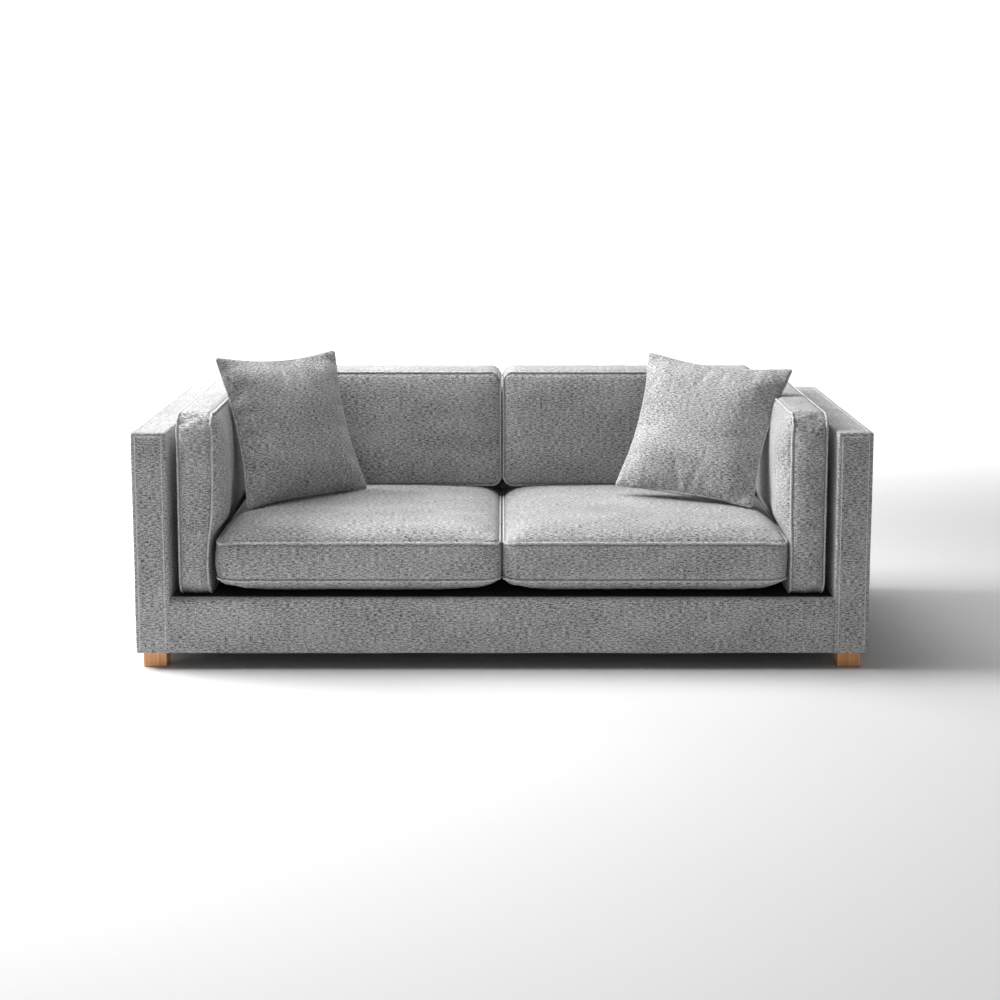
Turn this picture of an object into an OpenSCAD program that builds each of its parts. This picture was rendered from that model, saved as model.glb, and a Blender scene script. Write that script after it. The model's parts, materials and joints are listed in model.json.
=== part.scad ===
// Two-seat sofa with box arms, loose cushions and short wooden legs.
// Origin: on the floor under the middle. +X is to the right seen from the front, +Y is the back, +Z up.
// "left" and "right" are as seen from the front, so the left_ parts are at -X.

/* [Overall] */
// Width over both arms
sofa_w = 2200; // [1800:10:2800]
// Depth from the arm fronts to the outside back
sofa_d = 950; // [860:10:1200]
// Height of the arms and of the back frame above the floor
arm_h = 721; // [600:1:880]
// Thickness of each arm with its upholstery
arm_t = 102; // [84:1:140]
// Thickness of the back frame with its upholstery
back_t = 100; // [84:1:140]

/* [Base] */
// Height of the deck that the seat cushions lie on
deck_h = 215; // [190:1:280]
// Thickness of the deck pad over the springs
deck_pad_t = 17; // [8:1:30]
// Thickness of the base rails
rail_t = 28; // [20:1:36]
// Width of the braces that run from front to back under the springs
brace_w = 45; // [30:1:80]
// Height of the braces
brace_h = 30; // [20:1:60]
// Thickness of the foam on the front rail
front_foam_t = 10; // [5:1:15]
// Radius of the soft roll at the top of the front rail
roll_r = 17; // [8:1:24]

/* [Timber and boards] */
// Height of the top and bottom members of the arm and back frames
member_h = 42; // [30:1:60]
// Length of the posts along the arm or the back
post_l = 45; // [30:1:80]
// Number of posts in the back frame
back_posts_n = 4; // [3:1:6]
// Thickness of the hardboard on the arms
board_t = 3; // [2:1:5]
// Width of the back webbing
web_w = 70; // [30:1:80]
// Thickness of the back webs
web_t = 1.5; // [1:0.1:3]
// Length of web fixed to the back rail
web_hold = 30; // [15:1:60]

/* [Springs] */
// Springs under each seat cushion
spring_n = 4; // [3:1:6]
// Diameter of the spring wire
wire_d = 3.8; // [3:0.1:5]
// Distance from one wire run to the next
spring_pitch = 66; // [50:1:80]
// Length of the straight wire runs
spring_run = 40; // [30:1:60]
// Height of a spring clip
clip_h = 8; // [6:1:12]
// Width of a spring clip
clip_w = 30; // [16:1:36]
// Length of a spring clip across the rail
clip_d = 16; // [12:1:20]

/* [Upholstery] */
// Thickness of the cover fabric and its lining
cover_t = 2; // [1:0.1:3]
// Thickness of the foam on the arms and the back
foam_t = 8; // [4:1:14]
// Radius of the upholstered edges
edge_r = 9; // [3:1:14]
// Thickness of the dust cover under the base
dust_t = 1.2; // [0.6:0.1:2]

/* [Legs] */
// Height of the legs, with their glides
leg_h = 50; // [40:1:120]
// Width of a leg
leg_w = 70; // [44:1:74]
// Depth of a leg from front to back
leg_d = 65; // [44:1:100]
// Distance from the arm's outside to the leg
leg_inset = 17; // [14:1:20]
// Distance from the front or the back to the leg
leg_set_back = 20; // [14:1:80]
// Radius of the leg's upright edges
leg_edge_r = 3; // [1:1:8]
// Diameter of the leg bolt
leg_bolt_d = 8; // [6:1:10]
// Diameter of a floor glide
glide_d = 24; // [16:1:40]
// Thickness of a floor glide
glide_t = 2; // [1:0.5:4]
// Diameter of a glide's stem
stem_d = 5; // [3:1:8]
// Length of a glide's stem
stem_l = 12; // [6:1:16]

/* [Frame bolts] */
// Diameter of the bolts that hold each arm to the base
frame_bolt_d = 8; // [6:1:10]
// Bolts through each side rail
frame_bolts_n = 3; // [2:1:4]

/* [Seat cushions] */
// Distance from the arm fronts back to the seat cushions
seat_set = 20; // [0:1:60]
// Height of the upright border between the two welts
seat_border_h = 118; // [80:1:160]
// Rise of the crown above the upper welt
seat_crown = 54; // [20:1:80]
// Depth of the crown below the lower welt
seat_belly = 49; // [20:1:70]
// Radius of the upright corners
seat_corner_r = 34; // [10:1:60]

/* [Back cushions] */
// Height of the top of the back cushions above the floor
back_top = 812; // [740:1:960]
// Thickness between the front and the rear welt
back_cushion_t = 160; // [110:1:200]
// Rise of the front crown
back_crown = 22; // [6:1:40]
// Radius of the corners seen from the front
back_corner_r = 36; // [10:1:60]
// Height of the zip above the cushion's foot
back_zip_z = 60; // [50:1:120]

/* [Side cushions] */
// Height of the top of the side cushions above the floor
side_top = 770; // [680:1:900]
// Thickness between the inner and the outer welt
side_t = 108; // [80:1:140]
// Distance from the arm fronts back to the side cushions
side_set = 35; // [0:1:80]
// Rise of the inner crown above the seat
side_crown = 25; // [6:1:40]
// Radius of the corners seen from the side
side_corner_r = 40; // [10:1:60]
// Radius of the edges along the welts
side_edge_r = 12; // [4:1:30]
// Height of the zip above the cushion's foot
side_zip_z = 80; // [40:1:160]

/* [Scatter cushions] */
// Size of a scatter cushion from ear to ear
pillow_size = 480; // [400:5:560]
// Thickness in the middle
pillow_t = 150; // [90:5:190]
// Thickness at the knife edge
pillow_edge_t = 16; // [12:1:24]
// How far the sides pull in between the ears
pillow_pull = 25; // [10:1:40]
// Distance from the side cushion's inner face to the middle of the left scatter cushion
pillow_in_left = 198; // [180:1:320]
// Distance from the side cushion's inner face to the middle of the right scatter cushion
pillow_in_right = 238; // [200:1:320]
// Distance from the back frame to the middle of the left scatter cushion
pillow_fore_left = 412; // [400:1:520]
// Distance from the back frame to the middle of the right scatter cushion
pillow_fore_right = 425; // [400:1:520]

/* [Zips] */
// Width of the zip tape
zip_w = 14; // [12:1:24]
// How far the tape and its coil stand proud
zip_t = 0.8; // [0.4:0.1:1.5]
// Length of a zip slider
slider_l = 14; // [8:1:20]
// Width of a zip slider
slider_w = 9; // [6:1:12]
// Thickness of a zip slider
slider_t = 2.6; // [1.5:0.1:4]
// Length of the pull tab
pull_l = 24; // [16:1:36]
// Share of a cushion's side that its zip takes
zip_share = 0.8; // [0.5:0.05:0.9]

/* [Clearances] */
// Round a bolt, a stem or a wire in its hole
hole_gap = 0.2; // [0.1:0.1:1]
// Between two neighbouring seat or back cushions
middle_gap = 4; // [2:1:12]
// Between a cushion and the side cushion beside it
side_gap = 4; // [2:1:12]
// Between a side cushion and the arm
arm_gap = 25; // [8:1:50]
// Between a seat cushion and the back frame
seat_rear_gap = 15; // [8:1:40]
// Between a back or side cushion and the back frame
rear_gap = 7; // [6:1:20]
// Between a cushion and what it stands on
rest_gap = 1.5; // [0.5:0.5:5]
// Between a cushion's filling and its cover
core_gap = 0.5; // [0.3:0.1:3]
// Under a zip slider
slider_gap = 0.3; // [0.2:0.1:1]

/* [Hidden] */
$fn = 64;

// Planes of the frame
half_w = sofa_w / 2;
front_y = -sofa_d / 2;
rear_y = sofa_d / 2;
arm_in = half_w - arm_t;
back_in = rear_y - back_t;
skin = cover_t + foam_t;
arm_timber = arm_t - 2 * (skin + board_t);
arm_mid = half_w - arm_t / 2;
timber_low = leg_h;
timber_high = arm_h - skin - board_t;
timber_front = front_y + skin + board_t;
timber_rear = rear_y - skin - board_t;
back_timber_front = back_in + skin + web_t;

// Base
pad_low = deck_h - cover_t - deck_pad_t;
rail_high = pad_low - clip_h;
front_rail_y = front_y + cover_t + front_foam_t;
rail_inner = front_rail_y + rail_t;
side_rail_in = arm_in - rail_t;
side_rail_len = back_timber_front - rail_inner;
brace_x = (side_rail_in + rail_t / 2) / 2;

// Springs
wire_r = wire_d / 2;
clip_front_y = front_rail_y + rail_t / 2;
clip_set = 3;
clip_rear_y = back_timber_front + clip_set + clip_d / 2;
spring_runs = floor((clip_rear_y - clip_front_y) / spring_pitch) + 1;
// The step is a whole number of fiftieths, so that the runs and the half rings meet exactly
spring_step = round((clip_rear_y - clip_front_y) / (spring_runs - 1) * 50) / 50;
spring_z = rail_high + clip_h / 2;
bay_low = rail_t / 2;
bay_step = floor((side_rail_in - bay_low) / spring_n);
spring_x = [for (s = [-1, 1], i = [0 : spring_n - 1]) s * (bay_low + bay_step * (i + 0.5))];

// Legs
leg_x = half_w - leg_inset - leg_w / 2;
leg_y = sofa_d / 2 - leg_set_back - leg_d / 2;
leg_bolt_low = glide_t + stem_l + 6;
leg_bolt_high = timber_low + member_h + 12;
tnut_flange_r = 11;
tnut_flange_t = 1.5;
tnut_barrel_r = leg_bolt_d / 2 + 1.4;
tnut_barrel_l = 12;

// Frame bolts
frame_bolt_z = timber_low + member_h / 2;
frame_bolt_y = [for (i = [0 : frame_bolts_n - 1])
    rail_inner + 130 + i * (side_rail_len - 260) / (frame_bolts_n - 1)];
bolt_head_r = frame_bolt_d * 0.87;
bolt_head_t = frame_bolt_d * 0.65;

// How a crown rises: share of the way in from the edge, share of the full rise
CROWN = [[0, 0], [0.2, 0.36], [0.45, 0.7], [0.75, 1]];

// Loose cushions
side_out = arm_in - arm_gap;
side_in = side_out - side_t;
seat_out = side_in - side_gap;
seat_w = seat_out - middle_gap / 2;
seat_mid_x = middle_gap / 2 + seat_w / 2;
seat_front = front_y + seat_set;
seat_rear = back_in - seat_rear_gap;
seat_d = seat_rear - seat_front;
seat_mid_y = (seat_front + seat_rear) / 2;
seat_low_welt = deck_h + rest_gap + seat_belly;
seat_high_welt = seat_low_welt + seat_border_h;
seat_top = seat_high_welt + seat_crown;
seat_mid_z = seat_low_welt + seat_border_h / 2;
back_rear = back_in - rear_gap;
back_front = back_rear - back_cushion_t;
back_low_share = 1 - (back_front - back_crown - seat_mid_y) / (seat_d / 2);
back_low = seat_high_welt + seat_crown * lookup(back_low_share, CROWN) + rest_gap;
back_cushion_h = back_top - back_low;
side_front = front_y + side_set;
side_low = deck_h + rest_gap;
side_h = side_top - side_low;
side_d = back_rear - side_front;

// Scatter cushions: turn, lean and roll in degrees
left_turn = 42;
left_lean = 17;
right_turn = -23;
right_lean = 25;
right_roll = 4;
pillow_half = pillow_size / 2;
pillow_foot = pillow_half - 14;
foot_under = pillow_foot + zip_t + slider_gap + slider_t;
left_pillow_z = seat_top + rest_gap + foot_under * cos(left_lean) + slider_w * sin(left_lean);
right_pillow_z = seat_top + rest_gap + pillow_half * sin(right_roll)
    + foot_under * cos(right_lean) + slider_w * sin(right_lean);
pillow_x_left = side_in - pillow_in_left;
pillow_x_right = side_in - pillow_in_right;

// Finishes
BEECH = "#c58a5e";
PINE = "#c9a878";
HARDBOARD = "#7a5a3c";
STEEL = "#9a9da1";
GREY_CLOTH = "#8b8b8b";
DARK_CLOTH = "#2c2c2e";
FOAM = "#e8dfc0";
FIBRE = "#f2f2ee";
FELT = "#8d8a80";
WEBBING = "#3a3a3a";
NYLON = "#dddddd";

// ---- Shared shapes ----

// Radius of an arc over a chord of half length c that rises by s
function arc_radius(c, s) = (c * c + s * s) / (2 * s);

// A box between two corners
module block(low, high) {
    translate(low) cube(high - low);
}

// Rectangle with round corners, centred
module round_rect(w, h, r) {
    square([w - 2 * r, h], center = true);
    square([w, h - 2 * r], center = true);
    for (x = [-1, 1], y = [-1, 1])
        translate([x * (w / 2 - r), y * (h / 2 - r)]) circle(r);
}

// A knife edge of half thickness h2 and half length c that swells by rise on both faces
module lens(c, h2, rise) {
    intersection() {
        square([2 * c, 2 * (h2 + rise)], center = true);
        translate([0, h2 + rise - arc_radius(c, rise)]) circle(arc_radius(c, rise), $fn = 180);
        translate([0, arc_radius(c, rise) - h2 - rise]) circle(arc_radius(c, rise), $fn = 180);
    }
}

// A cushion centred on its border: w by d, border h, crowned up and down, upright corners of radius r
module cushion(w, d, h, up, down, r) {
    plate = 0.1;
    hull() for (face = [[1, up], [-1, down]], step = CROWN)
        if (step[0] == 0 || face[1] > 0)
            translate([0, 0, face[0] * (h / 2 + face[1] * step[1] - plate / 2)])
                linear_extrude(plate, center = true)
                    round_rect(w * (1 - step[0]), d * (1 - step[0]), r * (1 - step[0]), $fn = 24);
}

// A cushion's sewn cover: the outside less the space for its filling
module cushion_cover(w, d, h, up, down, r) {
    difference() {
        cushion(w, d, h, up, down, r);
        cushion(w - 2 * cover_t, d - 2 * cover_t, h - 2 * cover_t, up, down, r - cover_t);
    }
}

// A cushion's filling, clear of its cover
module cushion_core(w, d, h, up, down, r) {
    s = cover_t + core_gap;
    cushion(w - 2 * s, d - 2 * s, h - 2 * s, up, down, r - s);
}

// Zip tape along X on the side that faces +Y
module zip_tape(length) {
    block([-length / 2, -cover_t / 2, -zip_w / 2], [length / 2, zip_t, zip_w / 2]);
}

// Zip slider with its pull tab, on a tape along X that faces +Y, at the tape's -X end
module zip_slider(length) {
    x = -length / 2 + slider_l;
    y = zip_t + slider_gap;
    color(STEEL) {
        block([x - slider_l / 2, y, -slider_w / 2], [x + slider_l / 2, y + slider_t, slider_w / 2]);
        block([x, y + slider_t / 3, -slider_w / 4], [x + pull_l, y + slider_t * 2 / 3, slider_w / 4]);
    }
}

// An arm is drawn on the +X side; side = -1 turns it over to the other
module on_side(side) {
    if (side > 0) children();
    else mirror([1, 0, 0]) children();
}

// Holes that the frame bolts take through the arm and the side rail, on the +X side
module frame_bolt_holes() {
    for (y = frame_bolt_y)
        translate([side_rail_in - 1, y, frame_bolt_z]) rotate([0, 90, 0])
            cylinder(h = rail_t + arm_t / 2 + 8, r = frame_bolt_d / 2 + hole_gap);
}

// ---- Base ----

module front_rail() {
    color(PINE) block([-arm_in, front_rail_y, timber_low], [arm_in, rail_inner, rail_high]);
}

module back_rail() {
    color(PINE) block([-arm_in, back_timber_front, timber_low], [arm_in, timber_rear, rail_high]);
}

module side_rail(side) {
    color(PINE) on_side(side) difference() {
        block([side_rail_in, rail_inner, timber_low], [arm_in, back_timber_front, rail_high]);
        frame_bolt_holes();
    }
}

// A deep middle rail and two low braces, all from the front rail to the back rail
module base_braces() {
    color(PINE) {
        block([-rail_t / 2, rail_inner, timber_low], [rail_t / 2, back_timber_front, rail_high]);
        for (x = [-brace_x, brace_x])
            block([x - brace_w / 2, rail_inner, timber_low],
                  [x + brace_w / 2, back_timber_front, timber_low + brace_h]);
    }
}

// One sinuous spring along Y: straight runs across, joined by half rings at alternate ends
module sinuous_spring() {
    for (i = [0 : spring_runs - 1])
        translate([-spring_run / 2, clip_front_y + i * spring_step, spring_z])
            rotate([0, 90, 0]) cylinder(h = spring_run, r = wire_r, $fn = 24);
    for (i = [0 : spring_runs - 2])
        translate([(i % 2 == 0 ? 1 : -1) * spring_run / 2, clip_front_y + (i + 0.5) * spring_step, spring_z])
            rotate([0, 0, i % 2 == 0 ? -90 : 90])
                rotate_extrude(angle = 180, $fn = 48) translate([spring_step / 2, 0]) circle(wire_r, $fn = 24);
}

module seat_springs() {
    color(STEEL) for (x = spring_x) translate([x, 0, 0]) sinuous_spring();
}

module spring_clips() {
    color(NYLON) for (x = spring_x, y = [clip_front_y, clip_rear_y])
        difference() {
            block([x - clip_w / 2, y - clip_d / 2, rail_high], [x + clip_w / 2, y + clip_d / 2, pad_low]);
            translate([x - clip_w / 2 - 1, y, spring_z]) rotate([0, 90, 0])
                cylinder(h = clip_w + 2, r = wire_r + hole_gap, $fn = 24);
        }
}

module deck_pad() {
    color(FELT) block([-arm_in, rail_inner, pad_low], [arm_in, back_in, deck_h - cover_t]);
}

module deck_cloth() {
    color(DARK_CLOTH) block([-arm_in, rail_inner, deck_h - cover_t], [arm_in, back_in, deck_h]);
}

// Section of the front rail's upholstery, y across and z up, grown by the cover's thickness
module front_section(grow) {
    r = roll_r - cover_t + grow;
    face = front_rail_y - front_foam_t - grow;
    top = deck_h - cover_t + grow;
    difference() {
        union() {
            translate([face, timber_low]) square([rail_inner - face, top - r - timber_low]);
            translate([face + r, top - r - 1]) square([rail_inner - face - r, r + 1]);
            translate([face + r, top - r]) circle(r);
        }
        translate([front_rail_y, timber_low - 1]) square([rail_t + 1, pad_low - timber_low + 1]);
    }
}

module front_foam() {
    color(FOAM) rotate([90, 0, 90]) linear_extrude(2 * arm_in, center = true) front_section(0);
}

module front_border() {
    color(GREY_CLOTH) rotate([90, 0, 90]) linear_extrude(2 * arm_in, center = true)
        difference() {
            front_section(cover_t);
            front_section(0);
        }
}

module dust_cover() {
    color(DARK_CLOTH)
        block([-arm_in, front_rail_y, timber_low - dust_t], [arm_in, timber_rear, timber_low]);
}

// ---- Arms ----

// Three posts; the end ones have pockets over the leg bolts and their nuts
module arm_posts(side) {
    post_step = (timber_rear - timber_front - post_l) / 2;
    color(PINE) on_side(side) difference() {
        for (i = [0 : 2])
            block([arm_mid - arm_timber / 2, timber_front + i * post_step, timber_low + member_h],
                  [arm_mid + arm_timber / 2, timber_front + i * post_step + post_l, timber_high - member_h]);
        for (y = [-leg_y, leg_y]) translate([leg_x, y, timber_low + member_h - 1])
            cylinder(h = leg_bolt_high - timber_low - member_h + 3, r = tnut_flange_r + 1);
    }
}

module arm_members(side) {
    color(PINE) on_side(side) difference() {
        for (z = [timber_low, timber_high - member_h])
            block([arm_mid - arm_timber / 2, timber_front, z],
                  [arm_mid + arm_timber / 2, timber_rear, z + member_h]);
        frame_bolt_holes();
        for (y = [-leg_y, leg_y]) {
            translate([leg_x, y, timber_low - 1]) cylinder(h = member_h + 2, r = leg_bolt_d / 2 + hole_gap);
            translate([leg_x, y, timber_low + member_h - tnut_barrel_l])
                cylinder(h = tnut_barrel_l + 1, r = tnut_barrel_r + hole_gap);
        }
    }
}

// Hollow shell of an arm, wall thick, with its outside inset from the finished arm, open underneath
module arm_shell(inset, wall, r) {
    w = arm_t - 2 * inset;
    d = sofa_d - 2 * inset;
    top = arm_h - inset;
    difference() {
        intersection() {
            translate([arm_mid, 0, timber_low]) linear_extrude(top - timber_low) round_rect(w, d, r);
            translate([arm_mid, 0, (timber_low + top) / 2]) rotate([90, 0, 0])
                linear_extrude(d, center = true) round_rect(w, top - timber_low, r);
        }
        block([arm_mid - w / 2 + wall, -d / 2 + wall, timber_low - 1],
              [arm_mid + w / 2 - wall, d / 2 - wall, top - wall]);
        frame_bolt_holes();
    }
}

module arm_boards(side) {
    color(HARDBOARD) on_side(side) arm_shell(skin, board_t, 1);
}

module arm_foam(side) {
    color(FOAM) on_side(side) arm_shell(cover_t, foam_t, 4);
}

module arm_cover(side) {
    color(GREY_CLOTH) on_side(side) difference() {
        arm_shell(0, cover_t, edge_r);
        arm_shell(cover_t, foam_t, 4);
    }
}

// ---- Back ----

// The posts stand on the back rail, behind the spring clips
module back_posts() {
    post_step = (2 * arm_in - post_l) / (back_posts_n - 1);
    color(PINE) for (i = [0 : back_posts_n - 1])
        block([-arm_in + i * post_step, clip_rear_y + clip_d / 2 + clip_set, rail_high],
              [-arm_in + i * post_step + post_l, timber_rear, timber_high - member_h]);
}

module back_top_member() {
    color(PINE) block([-arm_in, back_timber_front, timber_high - member_h], [arm_in, timber_rear, timber_high]);
}

// Upright webs between the springs, fixed to the faces of the back rail and the top member
module back_webbing() {
    color(WEBBING) for (side = [-1, 1], i = [1 : spring_n - 1])
        on_side(side) translate([bay_low + i * bay_step, 0, 0])
            block([-web_w / 2, back_timber_front - web_t, rail_high - web_hold],
                  [web_w / 2, back_timber_front, timber_high]);
}

// Hollow shell of the back, open underneath and, at the front, below the deck
module back_shell(inset, wall, r) {
    low = timber_low;
    top = arm_h - inset;
    d = back_t - 2 * inset;
    y = (back_in + rear_y) / 2;
    difference() {
        translate([0, y, (low + top) / 2]) rotate([90, 0, 90])
            linear_extrude(2 * arm_in, center = true) round_rect(d, top - low, r);
        block([-arm_in - 1, y - d / 2 + wall, low - 1], [arm_in + 1, y + d / 2 - wall, top - wall]);
        block([-arm_in - 1, back_in - 1, low - 1], [arm_in + 1, y, deck_h]);
    }
}

module back_foam() {
    color(FOAM) back_shell(cover_t, foam_t, 4);
}

module back_cover() {
    color(GREY_CLOTH) difference() {
        back_shell(0, cover_t, edge_r);
        back_shell(cover_t, foam_t, 4);
    }
}

// ---- Legs ----

module leg(side, end) {
    color(BEECH) translate([side * leg_x, end * leg_y, 0]) difference() {
        translate([0, 0, glide_t]) linear_extrude(leg_h - glide_t) round_rect(leg_w, leg_d, leg_edge_r);
        translate([0, 0, leg_bolt_low]) cylinder(h = leg_h, r = leg_bolt_d / 2 + hole_gap);
        translate([0, 0, glide_t - 1]) cylinder(h = stem_l + 1.5, r = stem_d / 2 + hole_gap);
    }
}

module at_legs() {
    for (x = [-leg_x, leg_x], y = [-leg_y, leg_y]) translate([x, y, 0]) children();
}

module leg_bolts() {
    color(STEEL) at_legs() translate([0, 0, leg_bolt_low])
        cylinder(h = leg_bolt_high - leg_bolt_low, r = leg_bolt_d / 2);
}

// Flanged nuts pressed into the arm's bottom member from above
module leg_tnuts() {
    nut_top = timber_low + member_h;
    color(STEEL) at_legs() difference() {
        union() {
            translate([0, 0, nut_top]) cylinder(h = tnut_flange_t, r = tnut_flange_r);
            translate([0, 0, nut_top - tnut_barrel_l + 0.5]) cylinder(h = tnut_barrel_l - 0.5, r = tnut_barrel_r);
        }
        translate([0, 0, nut_top - tnut_barrel_l])
            cylinder(h = tnut_barrel_l + tnut_flange_t + 1, r = leg_bolt_d / 2 + hole_gap / 2);
    }
}

module floor_glides() {
    color(NYLON) at_legs() {
        cylinder(h = glide_t, r = glide_d / 2);
        cylinder(h = glide_t + stem_l, r = stem_d / 2);
    }
}

module frame_bolts() {
    color(STEEL) for (side = [-1, 1], y = frame_bolt_y)
        on_side(side) translate([side_rail_in, y, frame_bolt_z]) rotate([0, 90, 0]) {
            cylinder(h = rail_t + arm_t / 2 + 6, r = frame_bolt_d / 2);
            translate([0, 0, -bolt_head_t]) cylinder(h = bolt_head_t, r = bolt_head_r, $fn = 6);
        }
}

// ---- Seat cushions ----

module at_seat(side) {
    translate([side * seat_mid_x, seat_mid_y, seat_mid_z]) children();
}

module seat_cover(side) {
    color(GREY_CLOTH) at_seat(side) {
        cushion_cover(seat_w, seat_d, seat_border_h, seat_crown, seat_belly, seat_corner_r);
        translate([0, seat_d / 2, 0]) zip_tape(seat_w * zip_share);
    }
}

module seat_core(side) {
    color(FOAM) at_seat(side)
        cushion_core(seat_w, seat_d, seat_border_h, seat_crown, seat_belly, seat_corner_r);
}

module seat_zip_slider(side) {
    at_seat(side) translate([0, seat_d / 2, 0]) zip_slider(seat_w * zip_share);
}

// ---- Back cushions ----

// The crown faces the front; the cushion's rear face is flat against the back frame
module at_back(side) {
    translate([side * seat_mid_x, (back_front + back_rear) / 2, (back_low + back_top) / 2])
        rotate([90, 0, 0]) children();
}

module back_cushion_cover(side) {
    color(GREY_CLOTH) {
        at_back(side) cushion_cover(seat_w, back_cushion_h, back_cushion_t, back_crown, 0, back_corner_r);
        translate([side * seat_mid_x, back_rear, back_low + back_zip_z]) zip_tape(seat_w * zip_share);
    }
}

module back_cushion_core(side) {
    color(FIBRE) at_back(side)
        cushion_core(seat_w, back_cushion_h, back_cushion_t, back_crown, 0, back_corner_r);
}

module back_zip_slider(side) {
    translate([side * seat_mid_x, back_rear, back_low + back_zip_z]) zip_slider(seat_w * zip_share);
}

// ---- Side cushions ----

// A flat chord of half length c with an arc of rise s over it, and a little below it
module segment(c, s) {
    intersection() {
        translate([0, s - arc_radius(c, s)]) circle(arc_radius(c, s), $fn = 180);
        translate([-c, -s]) square([2 * c, 2 * s]);
    }
}

// A side cushion on the +X side, its outside moved in by less: a slab that swells inwards over the seat
module side_body(less) {
    slab = [side_t, side_d, side_h] - 2 * less * [1, 1, 1];
    crown_y = [side_front + side_corner_r / 2 + less, back_front - back_crown - less];
    crown_z = [seat_top + 12 + less, side_top - side_corner_r / 2 - less];
    translate([(side_in + side_out) / 2, (side_front + back_rear) / 2, (side_low + side_top) / 2])
        intersection() {
            rotate([90, 0, 90]) linear_extrude(slab[0], center = true)
                round_rect(slab[1], slab[2], side_corner_r - less);
            rotate([90, 0, 0]) linear_extrude(slab[1], center = true)
                round_rect(slab[0], slab[2], side_edge_r - less);
            linear_extrude(slab[2], center = true) round_rect(slab[0], slab[1], side_edge_r - less);
        }
    translate([side_in + less, (crown_y[0] + crown_y[1]) / 2, (crown_z[0] + crown_z[1]) / 2])
        intersection() {
            rotate([90, -90, 0]) linear_extrude(crown_y[1] - crown_y[0], center = true)
                segment((crown_z[1] - crown_z[0]) / 2, side_crown);
            rotate([0, 0, 90]) linear_extrude(crown_z[1] - crown_z[0], center = true)
                segment((crown_y[1] - crown_y[0]) / 2, side_crown);
        }
}

// The zip runs low along the outer face, its closed end at the rear
module at_side_zip(side) {
    on_side(side) translate([side_out, (side_front + back_rear) / 2, side_low + side_zip_z])
        rotate([0, 0, -90]) children();
}

module side_cover(side) {
    color(GREY_CLOTH) {
        on_side(side) difference() {
            side_body(0);
            side_body(cover_t);
        }
        at_side_zip(side) zip_tape(side_d * zip_share);
    }
}

module side_core(side) {
    color(FIBRE) on_side(side) side_body(cover_t + core_gap);
}

module side_zip_slider(side) {
    at_side_zip(side) zip_slider(side_d * zip_share);
}

// ---- Scatter cushions ----

// Outline from the front, moved in by less: three sides pull in between the ears, the foot is straight
module pillow_outline(less) {
    r = arc_radius(pillow_half, pillow_pull);
    away = pillow_half - pillow_pull + r;
    difference() {
        translate([less - pillow_half, less - pillow_foot])
            square([pillow_size - 2 * less, pillow_half + pillow_foot - 2 * less]);
        for (p = [[-away, 0], [away, 0], [0, away]]) translate(p) circle(r + less, $fn = 180);
    }
}

// A scatter cushion upright at the origin, facing -Y, its outside moved in by less
module pillow_body(less) {
    rise = (pillow_t - pillow_edge_t) / 2;
    h2 = pillow_edge_t / 2 - less;
    intersection() {
        rotate([90, 0, 0]) linear_extrude(pillow_t + 2, center = true) pillow_outline(less);
        linear_extrude(pillow_size + 2, center = true) lens(pillow_half - less, h2, rise);
        rotate([0, -90, 0]) linear_extrude(pillow_size + 2, center = true) lens(pillow_half - less, h2, rise);
    }
}

module at_pillow(side) {
    if (side < 0)
        translate([-pillow_x_left, back_in - pillow_fore_left, left_pillow_z])
            rotate([0, 0, left_turn]) rotate([-left_lean, 0, 0]) children();
    else
        translate([pillow_x_right, back_in - pillow_fore_right, right_pillow_z])
            rotate([0, 0, right_turn]) rotate([-right_lean, 0, 0]) rotate([0, right_roll, 0]) children();
}

module pillow_cover(side) {
    color(GREY_CLOTH) at_pillow(side) {
        difference() {
            pillow_body(0);
            pillow_body(cover_t);
        }
        translate([0, 0, -pillow_foot]) rotate([-90, 0, 0]) zip_tape(pillow_size * zip_share);
    }
}

module pillow_core(side) {
    color(FIBRE) at_pillow(side) pillow_body(cover_t + core_gap);
}

module pillow_zip_slider(side) {
    at_pillow(side) translate([0, 0, -pillow_foot]) rotate([-90, 0, 0])
        zip_slider(pillow_size * zip_share);
}

front_rail();
back_rail();
side_rail(-1);  // left_side_rail
side_rail(1);  // right_side_rail
base_braces();
seat_springs();
spring_clips();
deck_pad();
deck_cloth();
front_foam();
front_border();
dust_cover();
arm_posts(-1);  // left_arm_posts
arm_members(-1);  // left_arm_members
arm_boards(-1);  // left_arm_boards
arm_foam(-1);  // left_arm_foam
arm_cover(-1);  // left_arm_cover
arm_posts(1);  // right_arm_posts
arm_members(1);  // right_arm_members
arm_boards(1);  // right_arm_boards
arm_foam(1);  // right_arm_foam
arm_cover(1);  // right_arm_cover
back_posts();
back_top_member();
back_webbing();
back_foam();
back_cover();
leg(-1, -1);  // front_left_leg
leg(1, -1);  // front_right_leg
leg(-1, 1);  // rear_left_leg
leg(1, 1);  // rear_right_leg
leg_bolts();
leg_tnuts();
floor_glides();
frame_bolts();
seat_cover(-1);  // left_seat_cover
seat_core(-1);  // left_seat_core
seat_zip_slider(-1);  // left_seat_zip_slider
seat_cover(1);  // right_seat_cover
seat_core(1);  // right_seat_core
seat_zip_slider(1);  // right_seat_zip_slider
back_cushion_cover(-1);  // left_back_cover
back_cushion_core(-1);  // left_back_core
back_zip_slider(-1);  // left_back_zip_slider
back_cushion_cover(1);  // right_back_cover
back_cushion_core(1);  // right_back_core
back_zip_slider(1);  // right_back_zip_slider
side_cover(-1);  // left_side_cover
side_core(-1);  // left_side_core
side_zip_slider(-1);  // left_side_zip_slider
side_cover(1);  // right_side_cover
side_core(1);  // right_side_core
side_zip_slider(1);  // right_side_zip_slider
pillow_cover(-1);  // left_pillow_cover
pillow_core(-1);  // left_pillow_core
pillow_zip_slider(-1);  // left_pillow_zip_slider
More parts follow.
